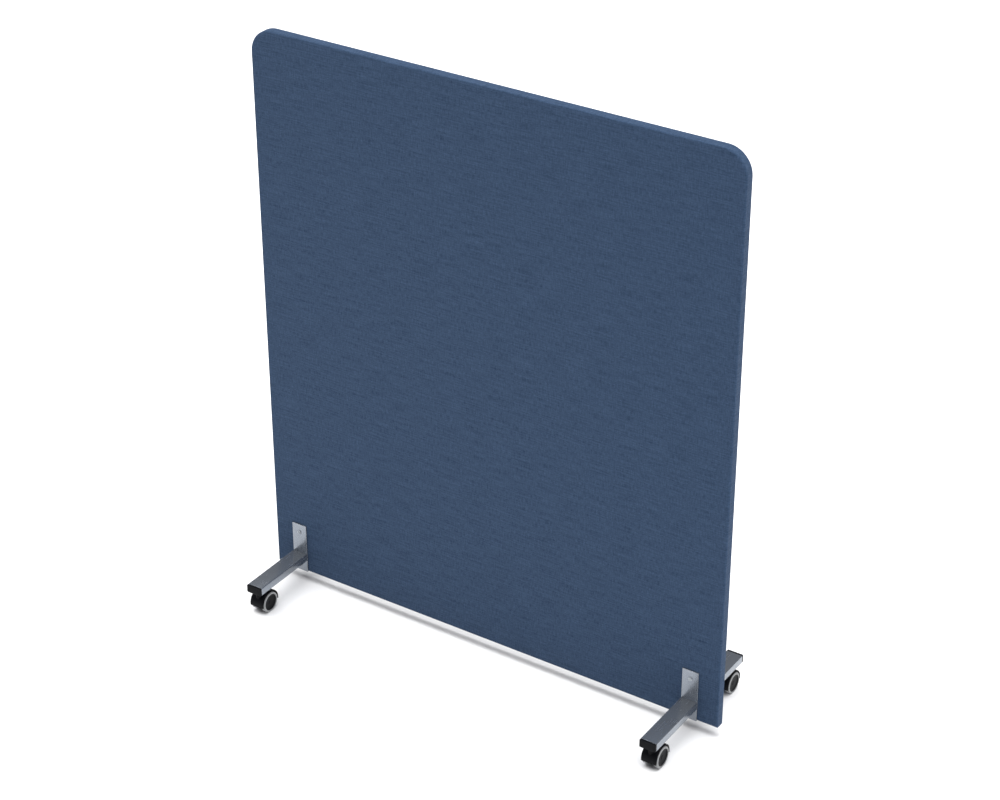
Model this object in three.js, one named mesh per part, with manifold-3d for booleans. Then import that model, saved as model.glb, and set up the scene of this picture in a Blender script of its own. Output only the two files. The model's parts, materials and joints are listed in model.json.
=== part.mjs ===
// A mobile partition screen: an upholstered acoustic panel that stands on two steel feet, each made of a
// front and a rear half bolted together through the panel, with a swivelling twin-wheel caster under every
// foot end.
//
// Millimetres, +Z up. The origin is on the floor, under the middle of the panel. The panel is wide along X,
// and its two faces look along -Y (front) and +Y (rear).
import * as THREE from "three";
import { mergeVertices } from "three/addons/utils/BufferGeometryUtils.js";
import Module from "manifold-3d";

const wasm = await Module();
wasm.setup();

// --- Driving dimensions --------------------------------------------------------------------------------

const GAP = 0.3; // left between pieces that touch on the real screen

// Panel
const PANEL_WIDTH = 1200;
const PANEL_HEIGHT = 1360;
const PANEL_THICKNESS = 25;
const FLOOR_CLEARANCE = 30; // floor to the underside of the panel
const TOP_CORNER_RADIUS = 56;
const EDGE_RADIUS = 3.5; // round of the fabric over the panel's edges
const COVER_THICKNESS = 1.5; // fabric on its felt backing
const TOP_RAIL_HEIGHT = 90;
const BOTTOM_RAIL_HEIGHT = 150; // tall enough to take both bolts of a foot
const STILE_WIDTH = 45;
const STRIP_WIDTH = 16; // closing strip let into the underside
const STRIP_THICKNESS = 1.2;
const STRIP_END_MARGIN = 12;

// Feet
const FOOT_X = 530; // centre line of each foot, left and right of the middle
const FOOT_REACH = 195; // middle of the panel to the outer face of an end cap
const TUBE_WIDTH = 40;
const TUBE_HEIGHT = 20;
const TUBE_WALL = 2;
const TUBE_CORNER_RADIUS = 2;
const TUBE_BOTTOM = 61; // floor to the underside of the tube
const PLATE_THICKNESS = 3;
const PLATE_TOP = 158; // floor to the top of the mounting plate
const PLATE_CORNER_RADIUS = 1;
const CAP_FLANGE = 5;
const CAP_PLUG_DEPTH = 5;
const CAP_PLUG_WALL = 1.8;

// Through-bolts of a foot, each with a sleeve nut at the rear
const BOLT_HEIGHTS = { upper: 136, lower: 45.5 };
const BOLT_RADIUS = 2.5;
const BOLT_HEAD_RADIUS = 4.75;
const BOLT_HEAD_HEIGHT = 2.8;
const BOLT_LENGTH = 21;
const SOCKET_RADIUS = 1.7; // hexagon socket of the heads, across its corners
const SOCKET_DEPTH = 1.8;
const SLEEVE_RADIUS = 3.5;
const SLEEVE_BORE = 2.8;
const SLEEVE_LENGTH = 22;
const BOLT_HOLE_RADIUS = 3.9;

// Casters
const STEM_INSET = 19; // outer face of an end cap to the swivel axis
const TRAIL = 17.5; // swivel axis to the wheel axle
const WHEEL_RADIUS = 25;
const CORE_RADIUS = 20;
const WHEEL_INNER_FACE = 8.5; // from the caster's middle plane
const WHEEL_OUTER_FACE = 20;
const HOOD_RADIUS = 30;
const HOOD_WALL = 3;
const HOOD_HALF_WIDTH = 19;
const HOOD_EDGE_RADIUS = 2.2;
const HOOD_LOWEST = 21.5; // floor to the hood's two lower edges
const WEB_HALF_WIDTH = 4;
const AXLE_RADIUS = 3;
const AXLE_HALF_LENGTH = 17;
const STEM_RADIUS = 5;
const STEM_BOSS_RADIUS = 7.8;
const STEM_BOSS_TOP = 56.5;
const STEM_NUT_ACROSS_CORNERS = 19;
const STEM_TOP = 74;
const STEM_FOOT = 32;
const BUSH_RADIUS = 7.5;
const BUSH_COLLAR = 1; // beyond the bush's own radius
const BUSH_TOP = 73;

const WHEEL_SEGMENTS = 24;
const SMALL_SEGMENTS = 16;

// --- Derived places ------------------------------------------------------------------------------------

const PANEL_BOTTOM = FLOOR_CLEARANCE;
const PANEL_TOP = PANEL_BOTTOM + PANEL_HEIGHT;
const PANEL_FACE = PANEL_THICKNESS / 2;
const FRAME_INSET = COVER_THICKNESS + GAP;
const FRAME_THICKNESS = PANEL_THICKNESS - 2 * FRAME_INSET;
const FRAME_HALF_WIDTH = PANEL_WIDTH / 2 - FRAME_INSET;
const FRAME_BOTTOM = PANEL_BOTTOM + FRAME_INSET;
const FRAME_TOP = PANEL_TOP - FRAME_INSET;
const TOP_RAIL_BOTTOM = FRAME_TOP - TOP_RAIL_HEIGHT;
const BOTTOM_RAIL_TOP = FRAME_BOTTOM + BOTTOM_RAIL_HEIGHT;
const PLATE_INNER = PANEL_FACE + GAP;
const PLATE_OUTER = PLATE_INNER + PLATE_THICKNESS;
const TUBE_INNER_END = PLATE_OUTER + GAP;
const TUBE_OUTER_END = FOOT_REACH - CAP_FLANGE - GAP;
const TUBE_MIDDLE_HEIGHT = TUBE_BOTTOM + TUBE_HEIGHT / 2;
const STEM_Y = -(FOOT_REACH - STEM_INSET); // in the front half of a foot

// --- Materials -----------------------------------------------------------------------------------------

const material = (color, roughness, metalness = 0) =>
  new THREE.MeshStandardMaterial({ color, roughness, metalness });

const BLUE_FABRIC = material(0x3e5068, 0.9);
const PINE = material(0xc9a26b, 0.7);
const FELT = material(0xb9bbb8, 0.95);
const BLACK_PLASTIC = material(0x17181a, 0.45);
const SILVER_STEEL = material(0xa9adb3, 0.35, 0.9);
const ZINC_STEEL = material(0x9a9c9f, 0.3, 1);
const GREY_TREAD = material(0x9fa1a3, 0.6);

// --- Solids --------------------------------------------------------------------------------------------

// A closed geometry as a manifold-3d solid.
function solidOf(geometry) {
  const bare = new THREE.BufferGeometry();
  bare.setAttribute("position", geometry.getAttribute("position"));
  bare.setIndex(geometry.index);
  const merged = mergeVertices(bare, 1e-4);
  return new wasm.Manifold(
    new wasm.Mesh({
      numProp: 3,
      vertProperties: merged.attributes.position.array,
      triVerts: new Uint32Array(merged.index.array),
    }),
  );
}

function geometryOf(solid) {
  const mesh = solid.getMesh();
  const geometry = new THREE.BufferGeometry();
  geometry.setAttribute("position", new THREE.BufferAttribute(mesh.vertProperties, 3));
  geometry.setIndex(new THREE.BufferAttribute(mesh.triVerts, 1));
  return geometry;
}

const joined = (geometries) => geometryOf(geometries.map(solidOf).reduce((a, b) => a.add(b)));
const cut = (geometry, tools) =>
  geometryOf(tools.map(solidOf).reduce((a, b) => a.subtract(b), solidOf(geometry)));
const common = (a, b) => geometryOf(solidOf(a).intersect(solidOf(b)));

// A box between two values on each axis.
function box([x0, x1], [y0, y1], [z0, z1]) {
  const geometry = new THREE.BoxGeometry(x1 - x0, y1 - y0, z1 - z0);
  return geometry.translate((x0 + x1) / 2, (y0 + y1) / 2, (z0 + z1) / 2);
}

// A cylinder along an axis ("x", "y" or "z") between two values on it.
function cylinder(axis, radius, [from, to], segments = SMALL_SEGMENTS) {
  const geometry = new THREE.CylinderGeometry(radius, radius, to - from, segments);
  geometry.translate(0, (from + to) / 2, 0);
  if (axis === "x") geometry.rotateZ(-Math.PI / 2);
  if (axis === "z") geometry.rotateX(Math.PI / 2);
  return geometry;
}

// A profile of [radius, height] points turned about the Z axis.
function turned(profile, segments = SMALL_SEGMENTS) {
  const points = profile.map(([radius, height]) => new THREE.Vector2(radius, height));
  return new THREE.LatheGeometry(points, segments).rotateX(Math.PI / 2);
}

// The same profile turned about the X axis, with a flat of the polygon facing down for a wheel to stand on.
function turnedAlongX(profile, segments = WHEEL_SEGMENTS) {
  const points = profile.map(([radius, place]) => new THREE.Vector2(radius, place));
  const geometry = new THREE.LatheGeometry(points, segments, Math.PI / segments);
  return geometry.rotateZ(-Math.PI / 2);
}

// A shape drawn in X and Z, extruded along Y about the plane y = 0.
function extrudedAlongY(shape, thickness, options = {}) {
  const depth = thickness - 2 * (options.bevelThickness ?? 0);
  const settings = { depth, bevelEnabled: false, curveSegments: 8, ...options };
  const geometry = new THREE.ExtrudeGeometry(shape, settings);
  return geometry.translate(0, 0, -depth / 2).rotateX(Math.PI / 2);
}

// A rectangle with round corners, drawn about the origin.
function roundedRectangle(width, height, radius) {
  const [w, h] = [width / 2 - radius, height / 2 - radius];
  const shape = new THREE.Shape();
  shape.absarc(w, h, radius, 0, Math.PI / 2);
  shape.absarc(-w, h, radius, Math.PI / 2, Math.PI);
  shape.absarc(-w, -h, radius, Math.PI, 1.5 * Math.PI);
  shape.absarc(w, -h, radius, 1.5 * Math.PI, 2 * Math.PI);
  return shape;
}

// --- The panel -----------------------------------------------------------------------------------------

// The panel's outline in X and Z: square at the bottom, round at the top, set in by one amount all round.
function panelOutline(inset) {
  const half = PANEL_WIDTH / 2 - inset;
  const bottom = PANEL_BOTTOM + inset;
  const radius = TOP_CORNER_RADIUS - inset;
  const centreX = PANEL_WIDTH / 2 - TOP_CORNER_RADIUS;
  const centreZ = PANEL_TOP - TOP_CORNER_RADIUS;
  const shape = new THREE.Shape();
  shape.moveTo(-half, bottom);
  shape.lineTo(half, bottom);
  shape.absarc(centreX, centreZ, radius, 0, Math.PI / 2);
  shape.absarc(-centreX, centreZ, radius, Math.PI / 2, Math.PI);
  shape.closePath();
  return shape;
}

// A bar through the whole panel at every bolt.
function boltHoles() {
  return [-FOOT_X, FOOT_X].flatMap((x) =>
    Object.values(BOLT_HEIGHTS).map((z) =>
      cylinder("y", BOLT_HOLE_RADIUS, [-PANEL_THICKNESS, PANEL_THICKNESS]).translate(x, 0, z),
    ),
  );
}

// The fabric sleeve: a thin shell round the frame, turned in under the bottom edge to a long slot.
function fabricCover() {
  const bevel = {
    bevelEnabled: true,
    bevelThickness: EDGE_RADIUS,
    bevelSize: EDGE_RADIUS,
    bevelOffset: -EDGE_RADIUS,
    bevelSegments: 3,
  };
  const outside = extrudedAlongY(panelOutline(0), PANEL_THICKNESS, bevel);
  const inside = extrudedAlongY(panelOutline(COVER_THICKNESS), PANEL_THICKNESS - 2 * COVER_THICKNESS);
  const slotHalfLength = PANEL_WIDTH / 2 - STRIP_END_MARGIN;
  const slotHalfWidth = STRIP_WIDTH / 2 + GAP;
  const slot = box(
    [-slotHalfLength, slotHalfLength],
    [-slotHalfWidth, slotHalfWidth],
    [PANEL_BOTTOM - 1, PANEL_BOTTOM + 2 * COVER_THICKNESS],
  );
  return cut(outside, [inside, slot, ...boltHoles()]);
}

// The strip that closes the slot and holds the fabric's turned-in edges.
function undersideStrip() {
  const halfLength = PANEL_WIDTH / 2 - STRIP_END_MARGIN - GAP;
  const halfWidth = STRIP_WIDTH / 2;
  const heights = [PANEL_BOTTOM, PANEL_BOTTOM + STRIP_THICKNESS];
  return box([-halfLength, halfLength], [-halfWidth, halfWidth], heights);
}

function topRail() {
  const outline = extrudedAlongY(panelOutline(FRAME_INSET), FRAME_THICKNESS);
  const top = box([-PANEL_WIDTH, PANEL_WIDTH], [-PANEL_FACE, PANEL_FACE], [TOP_RAIL_BOTTOM, PANEL_TOP]);
  return common(outline, top);
}

function bottomRail() {
  const half = FRAME_THICKNESS / 2;
  const plank = box([-FRAME_HALF_WIDTH, FRAME_HALF_WIDTH], [-half, half], [FRAME_BOTTOM, BOTTOM_RAIL_TOP]);
  return cut(plank, boltHoles());
}

// A post between the rails, with its outer face on the given side (-1 left, 1 right).
function stile(side) {
  const half = FRAME_THICKNESS / 2;
  const edges = [side * FRAME_HALF_WIDTH, side * (FRAME_HALF_WIDTH - STILE_WIDTH)].sort((a, b) => a - b);
  return box(edges, [-half, half], [BOTTOM_RAIL_TOP + GAP, TOP_RAIL_BOTTOM - GAP]);
}

function acousticInfill() {
  const half = FRAME_THICKNESS / 2;
  const halfWidth = FRAME_HALF_WIDTH - STILE_WIDTH - GAP;
  return box([-halfWidth, halfWidth], [-half, half], [BOTTOM_RAIL_TOP + GAP, TOP_RAIL_BOTTOM - GAP]);
}

// --- A front half foot, drawn about its own centre line ------------------------------------------------

function mountingPlate() {
  const height = PLATE_TOP - PANEL_BOTTOM;
  const outline = roundedRectangle(TUBE_WIDTH, height, PLATE_CORNER_RADIUS);
  const plate = extrudedAlongY(outline, PLATE_THICKNESS, { curveSegments: 2 });
  plate.translate(0, -(PLATE_INNER + PLATE_OUTER) / 2, PANEL_BOTTOM + height / 2);
  const holes = Object.values(BOLT_HEIGHTS).map((z) =>
    cylinder("y", BOLT_HOLE_RADIUS, [-2 * PLATE_OUTER, 0]).translate(0, 0, z),
  );
  return cut(plate, holes);
}

// The rectangular tube, with the hole for the caster's threaded bush in its underside.
function footTube() {
  const section = roundedRectangle(TUBE_WIDTH, TUBE_HEIGHT, TUBE_CORNER_RADIUS);
  const [boreWidth, boreHeight] = [TUBE_WIDTH - 2 * TUBE_WALL, TUBE_HEIGHT - 2 * TUBE_WALL];
  const bore = roundedRectangle(boreWidth, boreHeight, TUBE_CORNER_RADIUS / 2);
  section.holes.push(new THREE.Path(bore.getPoints(3).reverse()));
  const tube = extrudedAlongY(section, TUBE_OUTER_END - TUBE_INNER_END, { curveSegments: 3 });
  tube.translate(0, -(TUBE_INNER_END + TUBE_OUTER_END) / 2, TUBE_MIDDLE_HEIGHT);
  const bushHole = cylinder("z", BUSH_RADIUS + GAP, [TUBE_BOTTOM - 1, TUBE_MIDDLE_HEIGHT]);
  return cut(tube, [bushHole.translate(0, STEM_Y, 0)]);
}

// The plastic cap: a flange over the end of the tube and a hollow plug inside it.
function endCap() {
  const flange = extrudedAlongY(roundedRectangle(TUBE_WIDTH, TUBE_HEIGHT, TUBE_CORNER_RADIUS), CAP_FLANGE, {
    curveSegments: 3,
  });
  flange.translate(0, -FOOT_REACH + CAP_FLANGE / 2, TUBE_MIDDLE_HEIGHT);
  const halfWidth = TUBE_WIDTH / 2 - TUBE_WALL - GAP;
  const halfHeight = TUBE_HEIGHT / 2 - TUBE_WALL - GAP;
  const plugEnd = -FOOT_REACH + CAP_FLANGE + CAP_PLUG_DEPTH;
  const heights = (half) => [TUBE_MIDDLE_HEIGHT - half, TUBE_MIDDLE_HEIGHT + half];
  const plug = box([-halfWidth, halfWidth], [-FOOT_REACH + CAP_FLANGE / 2, plugEnd], heights(halfHeight));
  const hollow = box(
    [-halfWidth + CAP_PLUG_WALL, halfWidth - CAP_PLUG_WALL],
    [-FOOT_REACH + CAP_FLANGE, plugEnd + 1],
    heights(halfHeight - CAP_PLUG_WALL),
  );
  return cut(joined([flange, plug]), [hollow]);
}

// --- Bolts through the panel, along Y at their own height ----------------------------------------------

// A button head, from the face it bears on outwards, about the Z axis.
const buttonHead = (radius) => [
  [radius, 0],
  [radius, BOLT_HEAD_HEIGHT * 0.35],
  [radius * 0.82, BOLT_HEAD_HEIGHT * 0.8],
  [radius * 0.5, BOLT_HEAD_HEIGHT],
];

const hexSocket = () =>
  cylinder("z", SOCKET_RADIUS, [BOLT_HEAD_HEIGHT - SOCKET_DEPTH, BOLT_HEAD_HEIGHT + 1], 6);

const BOLT_SEAT = PLATE_OUTER + GAP;

// Enters from the front: the head bears on the front plate.
function footBolt(height) {
  const profile = [
    [0, -BOLT_LENGTH],
    [BOLT_RADIUS, -BOLT_LENGTH],
    [BOLT_RADIUS, 0],
    ...buttonHead(BOLT_HEAD_RADIUS),
    [0, BOLT_HEAD_HEIGHT],
  ];
  return cut(turned(profile, 12), [hexSocket()]).rotateX(Math.PI / 2).translate(0, -BOLT_SEAT, height);
}

// Enters from the rear and takes the bolt's thread in its bore.
function sleeveNut(height) {
  const boreEnd = -SOCKET_DEPTH / 2;
  const profile = [
    [SLEEVE_BORE, boreEnd],
    [SLEEVE_BORE, -SLEEVE_LENGTH],
    [SLEEVE_RADIUS, -SLEEVE_LENGTH],
    [SLEEVE_RADIUS, 0],
    ...buttonHead(BOLT_HEAD_RADIUS),
    [0, BOLT_HEAD_HEIGHT],
    [0, boreEnd],
    [SLEEVE_BORE, boreEnd],
  ];
  return cut(turned(profile, 12), [hexSocket()]).rotateX(-Math.PI / 2).translate(0, BOLT_SEAT, height);
}

// --- A caster, drawn about its swivel axis, with the axle towards the panel at y = TRAIL ---------------

// The stem screws into the bush: thread above the tube's underside, hexagon below it, then the swivel pin.
function casterStem() {
  const pin = turned([
    [0, STEM_FOOT],
    [STEM_RADIUS, STEM_FOOT],
    [STEM_RADIUS, STEM_BOSS_TOP + 2 * GAP],
    [STEM_RADIUS, STEM_TOP - 1],
    [STEM_RADIUS - 1, STEM_TOP],
    [0, STEM_TOP],
  ]);
  const hexagon = cylinder("z", STEM_NUT_ACROSS_CORNERS / 2, [STEM_BOSS_TOP + GAP, TUBE_BOTTOM - GAP], 6);
  return joined([pin, hexagon]);
}

// The bush that is set in the underside of the tube, with a collar inside it.
function stemBush() {
  const bore = STEM_RADIUS + GAP;
  const collarBottom = TUBE_BOTTOM + TUBE_WALL + GAP;
  return turned([
    [bore, TUBE_BOTTOM],
    [BUSH_RADIUS, TUBE_BOTTOM],
    [BUSH_RADIUS, collarBottom],
    [BUSH_RADIUS + BUSH_COLLAR, collarBottom],
    [BUSH_RADIUS + BUSH_COLLAR, collarBottom + 1.5],
    [BUSH_RADIUS - 0.5, collarBottom + 3],
    [BUSH_RADIUS - 0.5, BUSH_TOP],
    [bore, BUSH_TOP],
    [bore, TUBE_BOTTOM],
  ]);
}

// The hood over the wheels, one moulding with the web between them, the axle boss and the boss for the stem.
function casterHousing() {
  const inner = HOOD_RADIUS - HOOD_WALL;
  const roundedEdge = [90, 60, 30, 0].map((degrees) => {
    const angle = THREE.MathUtils.degToRad(degrees);
    const radius = HOOD_RADIUS - HOOD_EDGE_RADIUS * (1 - Math.sin(angle));
    return [radius, HOOD_HALF_WIDTH - HOOD_EDGE_RADIUS * (1 - Math.cos(angle))];
  });
  const otherEdge = roundedEdge.map(([radius, place]) => [radius, -place]).reverse();
  const start = [inner, -HOOD_HALF_WIDTH];
  const ring = turnedAlongX([start, ...otherEdge, ...roundedEdge, [inner, HOOD_HALF_WIDTH], start]);
  const web = cylinder("x", inner + HOOD_WALL / 2, [-WEB_HALF_WIDTH, WEB_HALF_WIDTH], WHEEL_SEGMENTS);
  const reach = 2 * HOOD_RADIUS;
  const below = box([-reach, reach], [-reach, reach], [-reach, HOOD_LOWEST - WHEEL_RADIUS]);
  const hood = cut(joined([ring, web]), [below]);

  const bossReach = WHEEL_INNER_FACE - 1;
  const axleBoss = cylinder("x", 2.2 * AXLE_RADIUS, [-bossReach, bossReach]);
  const wheelSide = joined([hood, axleBoss]).translate(0, TRAIL, WHEEL_RADIUS);
  const stemBoss = cylinder("z", STEM_BOSS_RADIUS, [STEM_FOOT - 4, STEM_BOSS_TOP]);
  const stemBore = cylinder("z", STEM_RADIUS + GAP, [STEM_FOOT - GAP, STEM_BOSS_TOP + 1]);
  const axleBore = cylinder("x", AXLE_RADIUS + GAP, [-2 * bossReach, 2 * bossReach]);
  return cut(joined([wheelSide, stemBoss]), [stemBore, axleBore.translate(0, TRAIL, WHEEL_RADIUS)]);
}

const axle = () =>
  cylinder("x", AXLE_RADIUS, [-AXLE_HALF_LENGTH, AXLE_HALF_LENGTH]).translate(0, TRAIL, WHEEL_RADIUS);

// The right wheel's black core: a hub on the axle, a closed face outside and a rim for the tread.
function wheelCore() {
  const bore = AXLE_RADIUS + GAP;
  const boreEnd = AXLE_HALF_LENGTH + GAP;
  const face = WHEEL_OUTER_FACE - 1;
  const rim = CORE_RADIUS - 3;
  return turnedAlongX([
    [bore, boreEnd],
    [bore, WHEEL_INNER_FACE],
    [2 * bore, WHEEL_INNER_FACE],
    [2 * bore, face - 3],
    [rim, face - 3],
    [rim, WHEEL_INNER_FACE],
    [CORE_RADIUS, WHEEL_INNER_FACE],
    [CORE_RADIUS, WHEEL_OUTER_FACE],
    [rim + 0.5, face],
    [0, face],
    [0, boreEnd],
    [bore, boreEnd],
  ]);
}

// The right wheel's soft grey tread. Its flats, not its corners, lie at the wheel's radius.
function wheelTread() {
  const scale = 1 / Math.cos(Math.PI / WHEEL_SEGMENTS);
  const inner = CORE_RADIUS + GAP;
  const chamfer = 1.2;
  const [from, to] = [WHEEL_INNER_FACE + GAP, WHEEL_OUTER_FACE - GAP];
  return turnedAlongX([
    [inner, from],
    [WHEEL_RADIUS * scale - chamfer, from],
    [WHEEL_RADIUS * scale, from + chamfer],
    [WHEEL_RADIUS * scale, to - chamfer],
    [WHEEL_RADIUS * scale - chamfer, to],
    [inner, to],
    [inner, from],
  ]);
}

// --- Assembly ------------------------------------------------------------------------------------------

function mesh(name, geometry, itsMaterial) {
  const made = new THREE.Mesh(geometry, itsMaterial);
  made.name = name;
  return made;
}

// A caster for one foot end: the bush and stem stay with the foot, the rest swivels.
function caster(end) {
  const group = new THREE.Group();
  group.add(
    mesh(`caster_bush_${end}`, stemBush(), ZINC_STEEL),
    mesh(`caster_stem_${end}`, casterStem(), ZINC_STEEL),
    mesh(`caster_housing_${end}`, casterHousing(), BLACK_PLASTIC),
    mesh(`caster_axle_${end}`, axle(), ZINC_STEEL),
  );
  // Seen from above with the axle behind the stem, the "b" wheel is the "a" wheel turned end for end.
  for (const [wheel, turn] of [["a", 0], ["b", Math.PI]]) {
    const pair = new THREE.Group();
    pair.add(
      mesh(`wheel_core_${end}_${wheel}`, wheelCore(), BLACK_PLASTIC),
      mesh(`wheel_tread_${end}_${wheel}`, wheelTread(), GREY_TREAD),
    );
    pair.position.set(0, TRAIL, WHEEL_RADIUS);
    pair.rotation.z = turn;
    group.add(pair);
  }
  group.position.y = STEM_Y;
  return group;
}

// Half a foot: a plate against the panel, a tube out from it, a cap on its end and a caster under it.
function halfFoot(end) {
  const group = new THREE.Group();
  group.add(
    mesh(`mounting_plate_${end}`, mountingPlate(), SILVER_STEEL),
    mesh(`foot_tube_${end}`, footTube(), SILVER_STEEL),
    mesh(`end_cap_${end}`, endCap(), BLACK_PLASTIC),
    caster(end),
  );
  return group;
}

const screen = new THREE.Group();

screen.add(
  mesh("fabric_cover", fabricCover(), BLUE_FABRIC),
  mesh("underside_strip", undersideStrip(), BLACK_PLASTIC),
  mesh("frame_top_rail", topRail(), PINE),
  mesh("frame_bottom_rail", bottomRail(), PINE),
  mesh("frame_left_stile", stile(-1), PINE),
  mesh("frame_right_stile", stile(1), PINE),
  mesh("acoustic_infill", acousticInfill(), FELT),
);

for (const [side, x] of [["left", -FOOT_X], ["right", FOOT_X]]) {
  for (const [face, turn] of [["front", 0], ["rear", Math.PI]]) {
    const half = halfFoot(`${face}_${side}`);
    half.position.x = x;
    half.rotation.z = turn;
    screen.add(half);
  }
  for (const [place, height] of Object.entries(BOLT_HEIGHTS)) {
    const pair = new THREE.Group();
    pair.position.x = x;
    pair.add(
      mesh(`foot_bolt_${side}_${place}`, footBolt(height), ZINC_STEEL),
      mesh(`sleeve_nut_${side}_${place}`, sleeveNut(height), ZINC_STEEL),
    );
    screen.add(pair);
  }
}

export default screen;
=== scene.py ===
import json
import math

import bmesh
import bpy
from mathutils import Matrix, Vector


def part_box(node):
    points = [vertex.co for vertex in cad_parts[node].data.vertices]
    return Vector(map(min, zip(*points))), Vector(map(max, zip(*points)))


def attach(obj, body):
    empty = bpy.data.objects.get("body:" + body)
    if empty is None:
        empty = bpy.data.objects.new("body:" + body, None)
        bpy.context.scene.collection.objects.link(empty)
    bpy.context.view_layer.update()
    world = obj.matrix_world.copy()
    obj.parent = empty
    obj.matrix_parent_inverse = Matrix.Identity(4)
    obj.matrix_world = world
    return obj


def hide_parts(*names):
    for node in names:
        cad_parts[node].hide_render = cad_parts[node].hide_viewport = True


# The looks of a mobile partition screen: an upholstered panel held upright between the front and rear
# halves of two steel feet, with a twin-wheel caster under every foot end. Shapes are drawn in millimetres,
# with the origin on the floor under the panel, +X along the panel, +Y to its rear and +Z up. Each mesh is
# scaled to metres as it is made.

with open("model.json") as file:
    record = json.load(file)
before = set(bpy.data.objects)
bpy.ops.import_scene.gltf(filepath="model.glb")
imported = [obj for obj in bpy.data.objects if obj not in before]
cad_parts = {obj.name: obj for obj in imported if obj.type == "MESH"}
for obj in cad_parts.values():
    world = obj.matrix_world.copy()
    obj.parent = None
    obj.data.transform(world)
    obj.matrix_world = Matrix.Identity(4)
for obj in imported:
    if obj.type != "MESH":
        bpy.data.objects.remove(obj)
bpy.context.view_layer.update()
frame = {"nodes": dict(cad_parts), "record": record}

MM = 0.001

# --- Camera, floor and lights, in metres and degrees ----------------------------------------------

CAMERA_PLACE = (2.5260, -3.7970, 3.2822)
CAMERA_AZIMUTH = 33.336  # to the right of a straight front view
CAMERA_ELEVATION = 29.928
CAMERA_ROLL = -0.036
CAMERA_LENS = 87.60  # millimetres
CAMERA_SENSOR = 36.0  # millimetres across
CAMERA_REACH = 200.0  # how far it sees, well past the floor

FLOOR_HALF_SIZE = 30.0
FLOOR_DROP = 0.0002  # keeps the floor just clear of the wheels
SKY_COLOUR = (0.92, 0.925, 1.0)
SKY_STRENGTH = 0.18
OVERHEAD_LIGHT = (2.62, 55)  # strength, and width in degrees, which makes every shadow soft
OVERHEAD_TILTS = [(3.3, -14.5), (3.3, 14.5)]  # from straight overhead, about X and about Y
SIDE_LIGHT = (1.0, 40)
SIDE_TILTS = [(0, -68), (0, 68)]

# --- Details within the boxes of the CAD nodes, in millimetres ------------------------------------

FIT_GAP = 0.3  # left between pieces that touch
SMOOTH_ANGLE = 32  # degrees; sharper edges than this stay crisp

# The panel's cover and the strip that closes it
EDGE_ROUND = 3.5  # fabric over the panel's edges
TOP_CORNER = 56
CLOTH_THICKNESS = 1.2
SLOT_MARGIN = 12  # panel side to the end of the slot under it
SLOT_HALF_WIDTH = 8.3
BOLT_HOLE = 3.9
STRIP_CORNER = 1.5
STRIP_EDGE = 0.4

# Steps of the cover's mesh
COVER_HALF_COLUMNS = 12  # from the panel's middle to either side
COVER_ROWS = 24  # from the bottom edge to the start of the top corners
CORNER_STEPS = 12
EDGE_STEPS = 6

# Plates, tubes and end caps
PLATE_CORNER = 1.0
PLATE_EDGE = 0.5
TUBE_CORNER = 2.2
TUBE_WALL = 2.0
TUBE_EDGE = 0.35
BUSH_HOLE = 7.8
CAP_CORNER = 2.2
CAP_EDGE = 0.9
CAP_FLANGE = 5.0
PLUG_WALL = 1.8
PLUG_CHAMFER = 0.5
PLUG_CORNER = 1.0
PLUG_TIP_CORNER = 0.8
PLUG_BORE_CORNER = 0.6

# Bolts and sleeve nuts
HEAD_HEIGHT = 2.8
HEAD_SIDE = 1.0  # height of the head's straight side
DOME_STEPS = 8
HEAD_CHAMFER = 0.15
SOCKET_RADIUS = 1.7  # middle to corner
SOCKET_DEPTH = 1.8
SHANK_RADIUS = 2.5
SHANK_CHAMFER = 0.6
SLEEVE_RADIUS = 3.5
SLEEVE_BORE = 2.8
SLEEVE_CHAMFER = 0.3

# Casters
TRAIL = 17.5  # swivel axis to axle
AXLE_HEIGHT = 25.0
AXLE_BORE = 3.3
AXLE_BOSS_RADIUS = 6.6
AXLE_BOSS_HALF_WIDTH = 7.5
HOOD_RADIUS = 30.0
HOOD_WALL = 3.0
HOOD_EDGE = 2.2
HOOD_INNER_EDGE = 0.4
HOOD_LOWEST = 21.5  # floor to the hood's two lower edges
HOOD_STEPS = 64
WEB_HALF_WIDTH = 4.0
WEB_STEPS = 48
STEM_RADIUS = 5.0
STEM_CHAMFER = 0.5
STEM_TIP_CHAMFER = 1.0
NUT_CHAMFER = 1.2  # of the stem's hexagon, inwards
NUT_CHAMFER_HEIGHT = 0.6
STEM_BOSS_RADIUS = 7.8
STEM_BOSS_BOTTOM = 28.0
STEM_BOSS_TOP = 56.5
STEM_BORE_BOTTOM = 31.7
BOSS_CHAMFER = 0.4
BOSS_TOP_CHAMFER = 1.0

# Wheels
CORE_RADIUS = 20.0
RIM_WALL = 3.0
CORE_WALL = 3.0
FACE_INSET = 1.0  # the core's face lies this far inside its lip
HUB_MIDDLE = 1.5  # radius of the flat disc that closes the hub
HUB_RADIUS = 5.2
DISH_RADIUS = 14.8
DISH_DEPTH = 0.7
LIP_RADIUS = 18.3
TREAD_EDGE = 1.7
TREAD_INNER_EDGE = 0.4
TREAD_CROWN = 0.15

# The pieces inside the panel, which keep their CAD shape
PANEL_CORE = [
    "frame_top_rail",
    "frame_bottom_rail",
    "frame_left_stile",
    "frame_right_stile",
    "acoustic_infill",
]

# --- Colours and weave ----------------------------------------------------------------------------

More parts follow.
